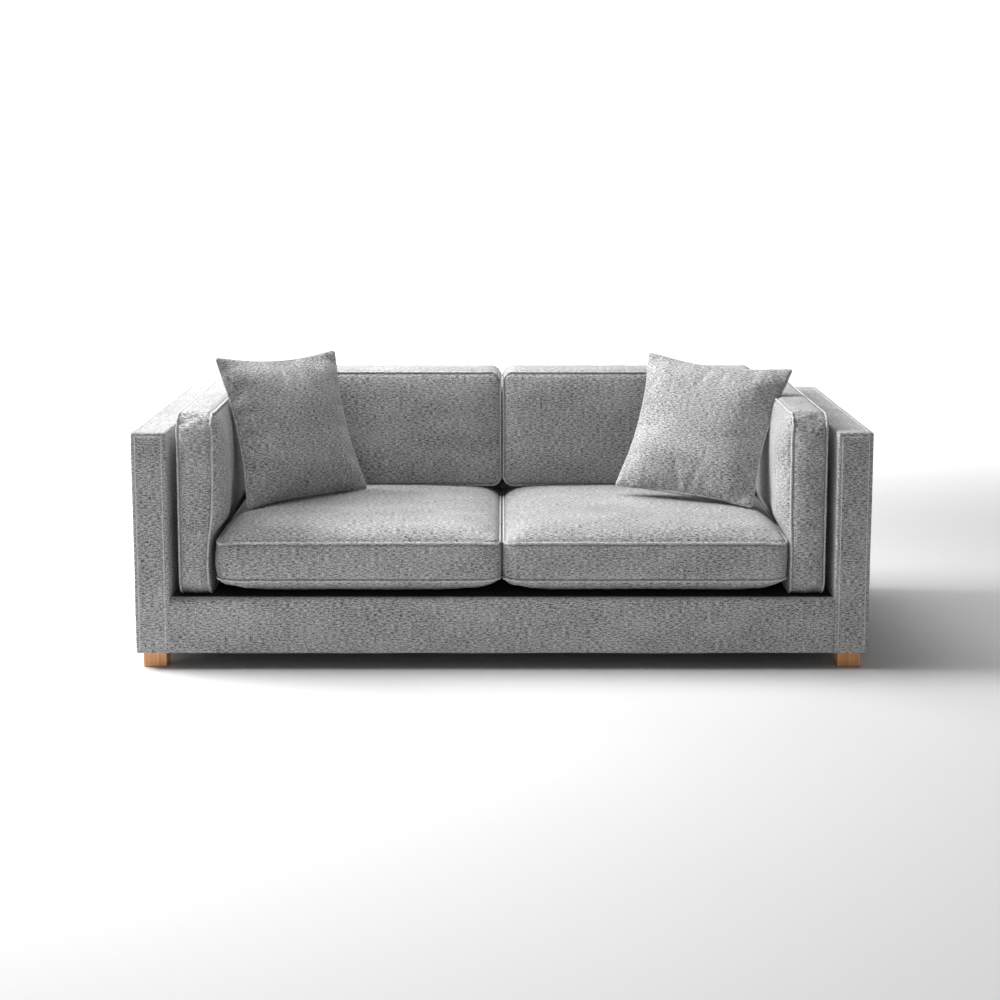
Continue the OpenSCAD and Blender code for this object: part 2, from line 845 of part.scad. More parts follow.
pillow_cover(1);  // right_pillow_cover
pillow_core(1);  // right_pillow_core
pillow_zip_slider(1);  // right_pillow_zip_slider
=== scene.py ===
# %% [markdown]
# # The looks of a two-seat sofa
#
# The sofa's frame, springs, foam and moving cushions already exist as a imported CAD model.
# This lesson dresses it: woven covers, crowned cushions with piped seams, scatter cushions,
# zips and finishes for every part inside. Everything is in metres, in the CAD model's own frame:
# the sofa faces -Y, +Z is up, and the floor is at z = 0.

# %% Load the CAD frame
import json
import math

import bmesh
import bpy
import numpy as np
from mathutils import Matrix, Vector

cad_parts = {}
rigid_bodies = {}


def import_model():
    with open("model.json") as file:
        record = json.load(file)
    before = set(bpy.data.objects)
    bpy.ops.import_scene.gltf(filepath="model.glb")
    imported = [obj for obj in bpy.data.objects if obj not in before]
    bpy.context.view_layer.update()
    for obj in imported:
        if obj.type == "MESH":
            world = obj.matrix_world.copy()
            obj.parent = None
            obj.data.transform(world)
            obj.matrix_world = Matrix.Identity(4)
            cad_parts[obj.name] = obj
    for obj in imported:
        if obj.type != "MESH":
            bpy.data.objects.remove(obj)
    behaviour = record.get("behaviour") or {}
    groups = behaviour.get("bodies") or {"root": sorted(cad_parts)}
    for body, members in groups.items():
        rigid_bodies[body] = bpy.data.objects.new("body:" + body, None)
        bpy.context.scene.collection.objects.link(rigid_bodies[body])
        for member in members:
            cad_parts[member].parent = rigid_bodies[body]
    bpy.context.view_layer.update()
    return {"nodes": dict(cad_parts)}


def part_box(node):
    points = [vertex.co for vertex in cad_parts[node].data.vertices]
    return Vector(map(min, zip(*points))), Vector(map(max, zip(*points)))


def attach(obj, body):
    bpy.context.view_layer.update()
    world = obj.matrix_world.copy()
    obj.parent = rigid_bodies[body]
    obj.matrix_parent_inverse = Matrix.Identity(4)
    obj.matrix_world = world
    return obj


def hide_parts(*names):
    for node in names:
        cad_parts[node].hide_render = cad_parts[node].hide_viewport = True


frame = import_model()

# %% [markdown]
# ## Camera, floor and light
#
# A sofa this wide is shown from straight ahead, a little above eye height when seated, through a
# medium long lens, so that the arms hardly splay. The lens is moved down a little on its mount
# instead of tilting the camera further, which keeps the upright edges upright.

# %% Camera
bpy.ops.object.camera_add(location=(0, -5.4335, 1.5767), rotation=(math.radians(90 - 7.333), 0, 0))
camera = bpy.context.object
camera.name = "camera"
camera.data.lens = 61.19
camera.data.shift_x = -0.002
camera.data.shift_y = -0.14
bpy.context.scene.camera = camera
bpy.context.scene.view_settings.view_transform = "Standard"
print("camera lens", camera.data.lens, "mm")


# %% Working with one piece at a time
def take(*pieces):
    """Leaves edit mode and selects only these pieces; the first is the active one."""
    if bpy.context.object and bpy.context.object.mode == "EDIT":
        bpy.ops.object.mode_set(mode="OBJECT")
    bpy.ops.object.select_all(action="DESELECT")
    for piece in pieces:
        piece.select_set(True)
    bpy.context.view_layer.objects.active = pieces[0] if pieces else None
    return pieces[0] if pieces else None


def pick(piece, kind, test):
    """Opens the piece for editing and selects its verts, edges or faces that pass the test."""
    take(piece)
    bpy.ops.object.mode_set(mode="EDIT")
    bpy.ops.mesh.select_mode(type={"verts": "VERT", "edges": "EDGE", "faces": "FACE"}[kind])
    bpy.ops.mesh.select_all(action="DESELECT")
    mesh = bmesh.from_edit_mesh(piece.data)
    chosen = [part for part in getattr(mesh, kind) if test(part)]
    for part in chosen:
        part.select_set(True)
    bmesh.update_edit_mesh(piece.data)
    return len(chosen)


# %% Floor and light
# A sweep: the floor turns up behind the sofa, so that there is no horizon line.
take()
bpy.ops.mesh.primitive_plane_add(size=16, location=(0, 2, 0))
floor = bpy.context.object
floor.name = "studio_floor"
pick(floor, "edges", lambda e: all(v.co.y > 7.9 for v in e.verts))
bpy.ops.mesh.extrude_region_move(TRANSFORM_OT_translate={"value": (0, 0, 8)})
pick(floor, "edges", lambda e: all(v.co.y > 7.9 and abs(v.co.z) < 0.01 for v in e.verts))
bpy.ops.mesh.bevel(offset=3, segments=12, affect="EDGES")
take(floor)
bpy.ops.object.transform_apply(location=True, rotation=True, scale=True)
bpy.ops.object.shade_smooth()

LIGHTS = {
    # name: place, what it points at, size, power in watts
    "key_from_the_left": ((-3.8, 0.3, 3.3), (0.3, 0.0, 0.3), 2.0, 300),
    "overhead": ((-0.9, 0.5, 3.9), (0.0, 0.1, 0.4), 3.0, 125),
    "front_fill": ((-0.9, -5.2, 0.8), (0.1, 0.0, 0.3), 2.6, 17),
}
for name, (place, target, size, power) in LIGHTS.items():
    bpy.ops.object.light_add(type="AREA", location=place)
    lamp = bpy.context.object
    lamp.name = name
    lamp.data.size = size
    lamp.data.energy = power
    lamp.rotation_euler = (Vector(target) - Vector(place)).to_track_quat("-Z", "Y").to_euler()
print("lights", len(LIGHTS))

# %% [markdown]
# ## Finishes
#
# Each finish starts from what the real one is and how it was made. Colours are given as sRGB hex
# codes, as a paint shop would, and one function turns them to the linear values that Blender mixes.
# A second function adds a node, sets it and links it, so that a finish reads as a recipe.


# %% Colour and nodes
def linear(code):
    """An sRGB hex colour as linear red, green, blue and alpha."""
    parts = [int(code[i:i + 2], 16) / 255 for i in (1, 3, 5)]
    return tuple(p / 12.92 if p <= 0.04045 else ((p + 0.055) / 1.055) ** 2.4 for p in parts) + (1.0,)


def add(tree, kind, sockets=None, **settings):
    """Adds a shader node. A socket's value is a number, a colour, or the output that feeds it."""
    made = tree.nodes.new("ShaderNode" + kind)
    for name, value in settings.items():
        setattr(made, name, value)
    for name, value in (sockets or {}).items():
        if isinstance(value, bpy.types.NodeSocket):
            tree.links.new(value, made.inputs[name])
        else:
            made.inputs[name].default_value = value
    return made


def open_finish(name):
    """A new material with an empty tree."""
    finish = bpy.data.materials.new(name)
    finish.use_nodes = True
    finish.node_tree.nodes.clear()
    return finish, finish.node_tree


def close_finish(finish, colour, roughness, bump=None, bump_height=0.0, **uniform):
    """Feeds a Principled shader: colour and roughness may be sockets, the rest are plain values."""
    tree = finish.node_tree
    feeds = {"Base Color": colour, "Roughness": roughness}
    if bump is not None:
        feeds["Normal"] = add(
            tree, "Bump", {"Height": bump, "Distance": bump_height, "Strength": 1.0}).outputs[0]
    shader = add(tree, "BsdfPrincipled", feeds)
    for name, value in uniform.items():
        shader.inputs[name.replace("_", " ")].default_value = value
    add(tree, "OutputMaterial", {"Surface": shader.outputs[0]})
    return finish


# %% [markdown]
# ### Upholstery cloth
#
# The cover is a plain basket weave of melange yarn, dark and pale fibres spun together, so the
# cloth is grey from far off and flecked from near. The flecks are long along the weft and short
# across it. Real threads lie about 1.5 mm apart, too fine to show at this distance, so the weave
# is drawn with 5 mm floats. It follows each piece's own UV map, which is in metres.

# %% Upholstery cloth
WEFT_FLECK = (0.0125, 0.0029)
WARP_FLECK = (0.0034, 0.0065)
FLOAT = 0.005
WAVE_BAND = 0.314  # a wave texture of scale 1 has one band in this many metres


def woven_cloth(name, dark, pale, lift):
    """Melange basket weave; lift shifts the tone of the yarn, and on the piping its brightening is a painted
    highlight.
    """
    cloth, t = open_finish(name)
    uv = add(t, "UVMap", uv_map="UVMap").outputs["UV"]
    flecks = []
    for length, height in (WEFT_FLECK, WARP_FLECK):
        place = add(t, "Mapping", {"Vector": uv, "Scale": (1 / length, 1 / height, 1)})
        spun = add(t, "TexNoise", {"Vector": place.outputs[0], "Scale": 1.0, "Detail": 3.0, "Roughness": 0.65},
                   noise_dimensions="2D")
        sharp = add(t, "MapRange", {"Value": spun.outputs[0], "From Min": 0.38, "From Max": 0.62})
        flecks.append(sharp.outputs[0])
    crossing = add(t, "TexChecker", {
        "Vector": uv, "Scale": 1 / FLOAT, "Color1": (1, 1, 1, 1), "Color2": (0, 0, 0, 1)})
    yarn = add(t, "Mix", {0: 0.33, 2: flecks[0], 3: flecks[1]}, data_type="FLOAT").outputs[0]
    waves = [
        add(t, "TexWave", {
            "Vector": uv, "Scale": WAVE_BAND / FLOAT, "Distortion": 1.2, "Detail": 1.0, "Detail Scale": 0.6},
            wave_type="BANDS", bands_direction=way).outputs["Fac"]
        for way in ("Y", "X")
    ]
    threads = add(t, "Mix", {0: crossing.outputs["Fac"], 2: waves[0], 3: waves[1]},
                  data_type="FLOAT").outputs[0]
    patch_place = add(t, "Mapping", {"Vector": uv, "Scale": (5, 9, 1)})
    patches = add(t, "TexNoise", {
        "Vector": patch_place.outputs[0], "Scale": 1.0, "Detail": 5.0, "Roughness": 0.62},
                  noise_dimensions="2D")
    toned = add(t, "Math", {0: yarn, 1: add(t, "Math", {0: patches.outputs[0], 1: 0.44, 2: -0.22},
                operation="MULTIPLY_ADD").outputs[0]}, operation="ADD").outputs[0]
    shaded = add(t, "Math", {0: threads, 1: 0.16, 2: toned}, operation="MULTIPLY_ADD").outputs[0]
    mixed = add(t, "Math", {0: shaded, 1: lift}, operation="ADD", use_clamp=True).outputs[0]
    colour = add(t, "Mix", {0: mixed, 6: linear(dark), 7: linear(pale)}, data_type="RGBA").outputs[2]
    height = add(t, "Math", {0: yarn, 1: 0.8, 2: threads}, operation="MULTIPLY_ADD").outputs[0]
    rough = add(t, "MapRange", {"Value": yarn, "To Min": 0.82, "To Max": 0.96}).outputs[0]
    return close_finish(cloth, colour, rough, height, 0.0004, Sheen_Weight=0.25, Sheen_Roughness=0.5,
                        Specular_IOR_Level=0.3)


upholstery = woven_cloth("melange_basket_weave", "#2c2c2d", "#dadadb", -0.03)
# The piping is the same cloth with paler yarn and a lift: a painted highlight along each piped seam
piping = woven_cloth("melange_piping", "#6c6c6d", "#e2e2e2", 0.16)

# %% [markdown]
# ### Wood, board and metal inside and below
#
# The legs are pale hardwood, planed, sanded and clear lacquered: fine straight grain with short
# pores, running up the leg. The frame is sawn pine, so its yearly rings show as wide soft bands.
# These finishes read Object coordinates, which are the sofa's own metres.


# %% Wood
def wood(name, along, early, late, ring, pore, rough, coat):
    """Straight-grained timber whose grain runs along axis 0, 1 or 2; ring and pore are in metres."""
    timber, t = open_finish(name)
    where = add(t, "TexCoord").outputs["Object"]
    slow, fast = [1 / ring] * 3, [1 / pore] * 3
    slow[along], fast[along] = 1.6, 26.0
    rings = add(t, "TexNoise", {"Vector": add(t, "Mapping", {"Vector": where, "Scale": slow}).outputs[0],
                "Scale": 1.0, "Detail": 3.0, "Roughness": 0.55, "Distortion": 0.6})
    pores = add(t, "TexNoise", {"Vector": add(t, "Mapping", {"Vector": where, "Scale": fast}).outputs[0],
                "Scale": 1.0, "Detail": 2.0})
    band = add(t, "MapRange", {"Value": rings.outputs[0], "From Min": 0.35, "From Max": 0.68}).outputs[0]
    speck = add(t, "MapRange", {
        "Value": pores.outputs[0], "From Min": 0.56, "From Max": 0.72, "To Max": 0.35}).outputs[0]
    both = add(t, "Math", {0: band, 1: 0.75, 2: speck}, operation="MULTIPLY_ADD", use_clamp=True).outputs[0]
    colour = add(t, "Mix", {0: both, 6: linear(early), 7: linear(late)}, data_type="RGBA").outputs[2]
    gloss = add(t, "MapRange", {"Value": both, "To Min": rough, "To Max": rough + 0.12}).outputs[0]
    return close_finish(timber, colour, gloss, pores.outputs[0], 0.00015, Coat_Weight=coat, Coat_Roughness=0.25)


leg_wood = wood("lacquered_beech", 2, "#efaf76", "#cc8448", 0.006, 0.0011, 0.42, 0.25)
pine = {axis: wood(f"sawn_pine_{'xyz'[axis]}", axis, "#dcbd8b", "#b98a55", 0.011, 0.0016, 0.68, 0.0)
        for axis in range(3)}


# %% Hardboard, metal and plastic
def speckled(name, base, fleck, grain, rough, bump_height=0.0002, stretch=(1, 1, 1), **uniform):
    """A finish with small irregular flecks of one size, in metres, over a base colour."""
    finish, t = open_finish(name)
    where = add(t, "TexCoord").outputs["Object"]
    scale = tuple(s / grain for s in stretch)
    noise = add(t, "TexNoise", {"Vector": add(t, "Mapping", {"Vector": where, "Scale": scale}).outputs[0],
                "Scale": 1.0, "Detail": 4.0, "Roughness": 0.6}).outputs[0]
    share = add(t, "MapRange", {"Value": noise, "From Min": 0.32, "From Max": 0.68}).outputs[0]
    colour = add(t, "Mix", {0: share, 6: linear(base), 7: linear(fleck)}, data_type="RGBA").outputs[2]
    gloss = add(t, "MapRange", {"Value": share, "To Min": rough, "To Max": min(1.0, rough + 0.1)}).outputs[0]
    return close_finish(finish, colour, gloss, noise, bump_height, **uniform)


# Pressed wood fibre, brown and slightly shiny on its face
hardboard = speckled("hardboard", "#7d5c3d", "#9a7650", 0.003, 0.55)
# Hard drawn wire, oiled, near black
spring_steel = speckled("oil_blued_spring_wire", "#4b4d52", "#6b6d70", 0.004, 0.32, 0.00003, Metallic=1.0)
# Zinc plate with its faint blue and yellow bloom
zinc_steel = speckled("zinc_plated_steel", "#b9bcc0", "#c9c3ad", 0.009, 0.3, 0.00002, Metallic=1.0)
# Nickel plate on the zips, bright and lightly scratched
zip_metal = speckled("nickel_plated_zip", "#a9a7a2", "#c4c2bd", 0.002, 0.24, 0.00001, (1, 6, 6), Metallic=1.0)
# Moulded nylon, milky, with a fine spark-eroded grain
nylon = speckled("moulded_nylon", "#e2e0d8", "#efede6", 0.0012, 0.42, 0.00003, Subsurface_Weight=0.1)


# %% [markdown]
# ### Padding and linings
#
# Foam is a mass of small open cells, so a cell pattern drives its colour and its dents. Fibre
# filling and needled felt are tangled hair, which long, kinked noise gives. Spun-bonded lining is
# pressed together in a grid of small points.


# %% Foam, fibre and felt
def open_cell(name, wall, cell, size, rough):
    """Foam: pale walls round darker cells of the given size in metres."""
    foam_finish, t = open_finish(name)
    where = add(t, "TexCoord").outputs["Object"]
    cells = add(t, "TexVoronoi", {"Vector": where, "Scale": 1 / size, "Randomness": 1.0}).outputs["Distance"]
    share = add(t, "MapRange", {"Value": cells, "From Min": 0.1, "From Max": 0.6}).outputs[0]
    colour = add(t, "Mix", {0: share, 6: linear(cell), 7: linear(wall)}, data_type="RGBA").outputs[2]
    gloss = add(t, "MapRange", {"Value": share, "To Min": rough, "To Max": 1.0}).outputs[0]
    return close_finish(foam_finish, colour, gloss, cells, 0.0008, Sheen_Weight=0.1)


# Real cells are under a millimetre; 2.5 mm lets them show
foam = open_cell("polyurethane_foam", "#efe6c6", "#d8caa0", 0.0025, 0.9)
fibre = speckled("polyester_fibre", "#f4f4f1", "#dcdcd8", 0.004, 0.95, 0.002, (0.35, 1, 1), Sheen_Weight=0.3)
felt = speckled("needled_felt", "#7f7b72", "#a29d92", 0.003, 0.95, 0.001, (0.5, 1, 1), Sheen_Weight=0.2)


# %% Linings
def bonded(name, base, dent, pitch):
    """Spun-bonded lining with a grid of pressed points, pitch in metres."""
    lining_finish, t = open_finish(name)
    where = add(t, "TexCoord").outputs["Object"]
    points = add(t, "TexVoronoi", {"Vector": where, "Scale": 1 / pitch, "Randomness": 0.0}).outputs["Distance"]
    hair = add(t, "TexNoise", {"Vector": where, "Scale": 700.0, "Detail": 3.0}).outputs[0]
    share = add(t, "MapRange", {"Value": points, "From Min": 0.15, "From Max": 0.35}).outputs[0]
    mixed = add(t, "Math", {0: share, 1: hair}, operation="MULTIPLY").outputs[0]
    colour = add(t, "Mix", {0: mixed, 6: linear(dent), 7: linear(base)}, data_type="RGBA").outputs[2]
    gloss = add(t, "MapRange", {"Value": mixed, "To Min": 0.75, "To Max": 0.95}).outputs[0]
    return close_finish(lining_finish, colour, gloss, mixed, 0.0003)


# The points are 1 mm apart on the roll; 3 mm shows them
lining = bonded("spun_bonded_lining", "#37383b", "#1c1d1f", 0.003)


def ribbed(name, low, high, pitch, along):
    """Narrow woven band with ribs across it every pitch metres."""
    band_finish, t = open_finish(name)
    where = add(t, "TexCoord").outputs["Object"]
    rib = add(t, "TexWave", {"Vector": where, "Scale": 0.314 / pitch, "Distortion": 0.8, "Detail": 1.0},
              wave_type="BANDS", bands_direction=along).outputs["Fac"]
    hair = add(t, "TexNoise", {"Vector": where, "Scale": 900.0, "Detail": 2.0}).outputs[0]
    mixed = add(t, "Math", {0: rib, 1: hair}, operation="MULTIPLY").outputs[0]
    share = add(t, "MapRange", {"Value": mixed, "To Min": 0.0, "To Max": 1.6}).outputs[0]
    colour = add(t, "Mix", {0: share, 6: linear(low), 7: linear(high)}, data_type="RGBA").outputs[2]
    gloss = add(t, "MapRange", {"Value": rib, "To Min": 0.8, "To Max": 0.92}).outputs[0]
    return close_finish(band_finish, colour, gloss, rib, 0.0005)


webbing = ribbed("elastic_webbing", "#2b2c2e", "#56585b", 0.004, "Z")
zip_tape_cloth = ribbed("zip_tape_twill", "#4c4e51", "#7b7d80", 0.002, "X")

# %% Studio floor
studio_white, floor_tree = open_finish("matt_white_sweep")
floor_place = add(floor_tree, "TexCoord").outputs["Object"]
mottle = add(floor_tree, "TexNoise", {"Vector": floor_place, "Scale": 0.8}).outputs[0]
tint = add(floor_tree, "Mix", {0: mottle, 6: linear("#e4e4e4"), 7: linear("#e8e8e8")},
           data_type="RGBA").outputs[2]
close_finish(studio_white, tint, 0.9, Emission_Color=linear("#ffffff"))
# Far from the sofa the sweep glows, so that it is white up to the edges of the view
apart = add(floor_tree, "SeparateXYZ", {0: add(floor_tree, "TexCoord").outputs["Object"]}).outputs["Y"]
glow = add(floor_tree, "MapRange", {"Value": apart, "From Min": 1.2, "From Max": 4.5, "To Max": 0.9},
           interpolation_type="SMOOTHSTEP").outputs[0]
shine = next(n for n in floor_tree.nodes if n.type == "BSDF_PRINCIPLED")
floor_tree.links.new(glow, shine.inputs["Emission Strength"])
floor.data.materials.append(studio_white)

sky = bpy.data.worlds.new("soft_room_light")
bpy.context.scene.world = sky
sky.use_nodes = True
sky.node_tree.nodes["Background"].inputs[0].default_value = linear("#f6f6f6")
sky.node_tree.nodes["Background"].inputs[1].default_value = 0.14

# %% [markdown]
# ### Finishes for the CAD parts
#
# The parts inside keep their CAD shape: timber, springs, bolts and foam are right as they are.
# Each gets the finish that its material slot names, with the grain of the pine turned to run
# along each piece.

# %% Finishes for the CAD parts
SLOT_FINISH = {
    "leg_wood": leg_wood, "hardboard": hardboard, "spring_steel": spring_steel, "zinc_steel": zinc_steel,
    "nylon": nylon, "felt": felt, "deck_cloth": lining, "webbing": webbing, "foam": foam, "fibre": fibre,
    "upholstery": upholstery, "zip_metal": zip_metal,
}
for name, part in frame["nodes"].items():
    low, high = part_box(name)
    size = high - low
    for holder in part.material_slots:
        if holder.material.name.split(".")[0] == "pine":
            longest = 2 if name.endswith("posts") else 1 if "side_rail" in name or "brace" in name or "arm_" in name \
                else 0
            holder.material = pine[longest]
        else:
            holder.material = SLOT_FINISH[holder.material.name.split(".")[0]]
print("CAD parts finished", len(frame["nodes"]))

# %% [markdown]
# ## Tight upholstery on the frame
#
# Arms, back and front border are padded timber under tight cloth: boxes with soft edges, faces
# that are never quite flat, and a thin sewn seam where two panels of cloth meet. Each is a block
# with rounded edges, cut into a fine net so that it can take the unevenness of hand-stretched cloth.


# %% Block, net and cloth map
def block(name, low, high):
    """A box between two corners, with its place in its mesh."""
    take()
    low, high = Vector(low), Vector(high)
    bpy.ops.mesh.primitive_cube_add(size=1, location=(low + high) / 2)
    piece = bpy.context.object
    piece.name = piece.data.name = name
    piece.scale = high - low
    bpy.ops.object.transform_apply(location=True, rotation=True, scale=True)
    return piece


def net(piece, cell, axes=(0, 1, 2)):
    """Cuts the piece by even planes about cell metres apart."""
    corners = np.array([v.co for v in piece.data.vertices])
    low, high = corners.min(0), corners.max(0)
    take(piece)
    bpy.ops.object.mode_set(mode="EDIT")
    for axis in axes:
        count = max(1, round((high[axis] - low[axis]) / cell))
        for place in np.linspace(low[axis], high[axis], count + 1)[1:-1]:
            bpy.ops.mesh.select_all(action="SELECT")
            at, facing = [0.0] * 3, [0.0] * 3
            at[axis], facing[axis] = float(place), 1.0
            bpy.ops.mesh.bisect(plane_co=at, plane_no=facing)
    take(piece)


def lay_cloth(piece, finish, shift=(0.0, 0.0)):
    """Maps the cloth in metres, its weft level, from the side that each face looks to."""
    take(piece)
    bpy.ops.object.mode_set(mode="EDIT")
    bpy.ops.mesh.select_all(action="SELECT")
    bpy.ops.uv.cube_project(cube_size=1.0, correct_aspect=False, scale_to_bounds=False)
    take(piece)
    layer = piece.data.uv_layers[0]
    layer.name = "UVMap"
    spots = np.zeros(len(layer.data) * 2)
    layer.data.foreach_get("uv", spots)
    layer.data.foreach_set("uv", spots + np.tile(shift, len(layer.data)))
    piece.data.materials.clear()
    piece.data.materials.append(finish)


# %% Uneven surface and sewn seams
def weigh(piece, name, weights):
    """A vertex group from one weight for each vertex."""
    group = piece.vertex_groups.new(name=name)
    for index, weight in enumerate(weights):
        group.add([index], float(weight), "REPLACE")
    return name


def uneven(piece, height, size, group="", middle=0.5):
    """Moves the surface by a soft cloud pattern, height and size in metres; middle 0 only raises it."""
    clouds = bpy.data.textures.get(f"clouds_{size:g}") or bpy.data.textures.new(f"clouds_{size:g}", "CLOUDS")
    clouds.noise_scale = size
    take(piece)
    bpy.ops.object.modifier_add(type="DISPLACE")
    change = piece.modifiers[-1]
    change.texture, change.texture_coords = clouds, "LOCAL"
    change.strength, change.mid_level, change.vertex_group = height, middle, group
    bpy.ops.object.modifier_apply(modifier=change.name)


def smooth_finer(piece, levels=1):
    """One subdivision, applied, and smooth shading."""
    take(piece)
    bpy.ops.object.modifier_add(type="SUBSURF")
    change = piece.modifiers[-1]
    change.levels = change.render_levels = levels
    bpy.ops.object.modifier_apply(modifier=change.name)
    bpy.ops.object.shade_smooth()


def pipe_seams(piece, name, radius):
    """A round cord of cloth along every marked seam, as a piece of its own."""
    before = set(bpy.data.objects)
    pick(piece, "edges", lambda e: e.seam)
    bpy.ops.mesh.duplicate()
    bpy.ops.mesh.separate(type="SELECTED")
    take()
    cord_piece = (set(bpy.data.objects) - before).pop()
    cord_piece.name = name
    take(cord_piece)
    bpy.ops.object.convert(target="CURVE")
    cord_piece.data.bevel_depth = radius
    cord_piece.data.bevel_resolution = 1
    cord_piece.data.use_fill_caps = True
    bpy.ops.object.convert(target="MESH")
    cord_piece = bpy.context.object
    cord_piece.data.name = name
    if not cord_piece.data.uv_layers:
        cord_piece.data.uv_layers.new(name="UVMap")
    lay_cloth(cord_piece, piping)
    bpy.ops.object.shade_smooth()
    return cord_piece


# %% Tight covers
LOWER_EDGE = 0.0018  # the foam reaches the floor side of each cover, 2 mm in, and must not show


def tight_cover(name, low, high, edge, seams, cell=0.05):
    """A padded box, tight below. seams tells for an edge's two ends if panels are sewn together there."""
    piece = block(name, low, high)
    pick(piece, "edges", lambda e: any(v.co.z > low[2] + 0.001 for v in e.verts))
    bpy.ops.mesh.bevel(offset=edge, segments=3, affect="EDGES")
    pick(piece, "edges", lambda e: all(near(v.co.z, low[2]) for v in e.verts) and len(e.link_faces) == 2
         and e.calc_face_angle() > 1.0)
    bpy.ops.mesh.bevel(offset=LOWER_EDGE, segments=2, affect="EDGES")
    net(piece, cell)
    pick(piece, "edges", lambda e: seams([v.co for v in e.verts]))
    bpy.ops.mesh.mark_seam()
    lay_cloth(piece, upholstery, (low[0] * 0.37, low[1] * 0.51))
    uneven(piece, 0.0035, 0.22, middle=0.1)
    uneven(piece, 0.0010, 0.05)
    smooth_finer(piece)
    return piece


def near(value, goal):
    return abs(value - goal) < 0.0004


# The foam below is 2 mm under the cloth, so the edges are no rounder than this
ARM_EDGE, BACK_EDGE = 0.005, 0.004
tight = []
for side in ("left", "right"):
    low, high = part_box(f"{side}_arm_cover")
    outer = low.x + ARM_EDGE if side == "left" else high.x - ARM_EDGE
    def arm_seam(ends, low=low, high=high, outer=outer):
        front = all(near(p.y, low.y) for p in ends)
        rim = all(near(p.z, high.z - ARM_EDGE) for p in ends) \
            or all(near(p.x, low.x + ARM_EDGE) for p in ends) \
            or all(near(p.x, high.x - ARM_EDGE) for p in ends)
        along_top = all(near(p.z, high.z) and near(p.x, outer) for p in ends)
        rear = all(near(p.y, high.y) for p in ends)
        return ((front or rear) and rim) or along_top
    arm = tight_cover(f"{side}_arm_upholstery", low, high, ARM_EDGE, arm_seam)
    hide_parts(f"{side}_arm_cover")
    tight += [arm, pipe_seams(arm, f"{side}_arm_seam_piping", 0.0018)]

low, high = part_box("back_cover")
back = tight_cover("back_upholstery", low, high, BACK_EDGE, lambda ends: all(
    near(p.z, high.z) and near(p.y, high.y - BACK_EDGE) for p in ends))
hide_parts("back_cover")
tight += [back, pipe_seams(back, "back_seam_piping", 0.0018)]

low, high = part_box("front_border")
border = block("front_border_upholstery", low, high)
pick(border, "edges", lambda e: all(near(v.co.y, low.y) and near(v.co.z, high.z) for v in e.verts))
bpy.ops.mesh.bevel(offset=0.02, segments=5, affect="EDGES")
pick(border, "edges", lambda e: all(near(v.co.y, low.y) and near(v.co.z, low.z) for v in e.verts))
bpy.ops.mesh.bevel(offset=0.0025, segments=2, affect="EDGES")
pick(border, "edges", lambda e: all(near(abs(v.co.x), high.x) and v.co.y < low.y + 0.03 for v in e.verts))
bpy.ops.mesh.bevel(offset=0.003, segments=2, affect="EDGES")
net(border, 0.05, (0, 2))
lay_cloth(border, upholstery, (0.21, 0.4))
uneven(border, 0.0035, 0.22, middle=0.1)
smooth_finer(border)
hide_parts("front_border")
tight.append(border)
for piece in tight:
    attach(piece, "root")
print("tight covers", [p.name for p in tight])

# %% [markdown]
# ## Loose cushions
#
# A boxed cushion is two panels and a border strip sewn round them, with piping in both seams. It
# is cut flat and takes its shape from what is stuffed in, so it is made the same way here: a flat
# net of cloth with its seams held, blown up by Blender's Cloth from inside. The swelling is then
# levelled, because foam fills a cover to a flatter top than air does, and scaled to the crown that
# the CAD solid has. Where a cushion lies against a neighbour it is pressed flat.


# %% Cloth simulation
def places(piece):
    """The vertices' places as an array."""
    spots = np.zeros(len(piece.data.vertices) * 3)
    piece.data.vertices.foreach_get("co", spots)
    return spots.reshape(-1, 3)


def put(piece, spots):
    piece.data.vertices.foreach_set("co", np.asarray(spots, float).ravel())
    piece.data.update()


def blow_up(piece, held, pressure, frames, slack=0.0):
    """Runs Cloth with air pressure inside; held vertices stay, slack is the spare cloth as a share."""
    take(piece)
    bpy.ops.object.modifier_add(type="CLOTH")
    cloth = piece.modifiers[-1]
    rules = cloth.settings
    rules.quality = 6
    rules.mass = 0.15
    rules.tension_stiffness = rules.compression_stiffness = 12
    rules.shear_stiffness = 6
    rules.bending_stiffness = 0.4
    rules.use_pressure = True
    rules.uniform_pressure_force = pressure
    rules.shrink_min = -slack
    rules.effector_weights.gravity = 0
    if held is not None:
        rules.vertex_group_mass = weigh(piece, "held", held)
    cloth.point_cache.frame_end = frames
    for step in range(1, frames + 1):
        bpy.context.scene.frame_set(step)
    bpy.ops.object.modifier_apply(modifier=cloth.name)
    bpy.context.scene.frame_set(1)


# %% Boxed cushions
def boxed_net(name, low, high, axis, corner, cell):
    """The flat-cut cover: a box with round corners seen along axis, in a net, with both seams marked."""
    piece = block(name, low, high)
    pick(piece, "edges", lambda e: abs((e.verts[0].co - e.verts[1].co)[axis]) > 1e-4)
    bpy.ops.mesh.bevel(offset=corner, segments=4, affect="EDGES")
    net(piece, cell)
    ends = (low[axis], high[axis])
    pick(piece, "edges", lambda e: any(
        near(e.verts[0].co[axis], end) and near(e.verts[1].co[axis], end) for end in ends)
         and abs(sum(f.normal[axis] for f in e.link_faces)) < 1.5)
    bpy.ops.mesh.mark_seam()
    take(piece)
    return piece


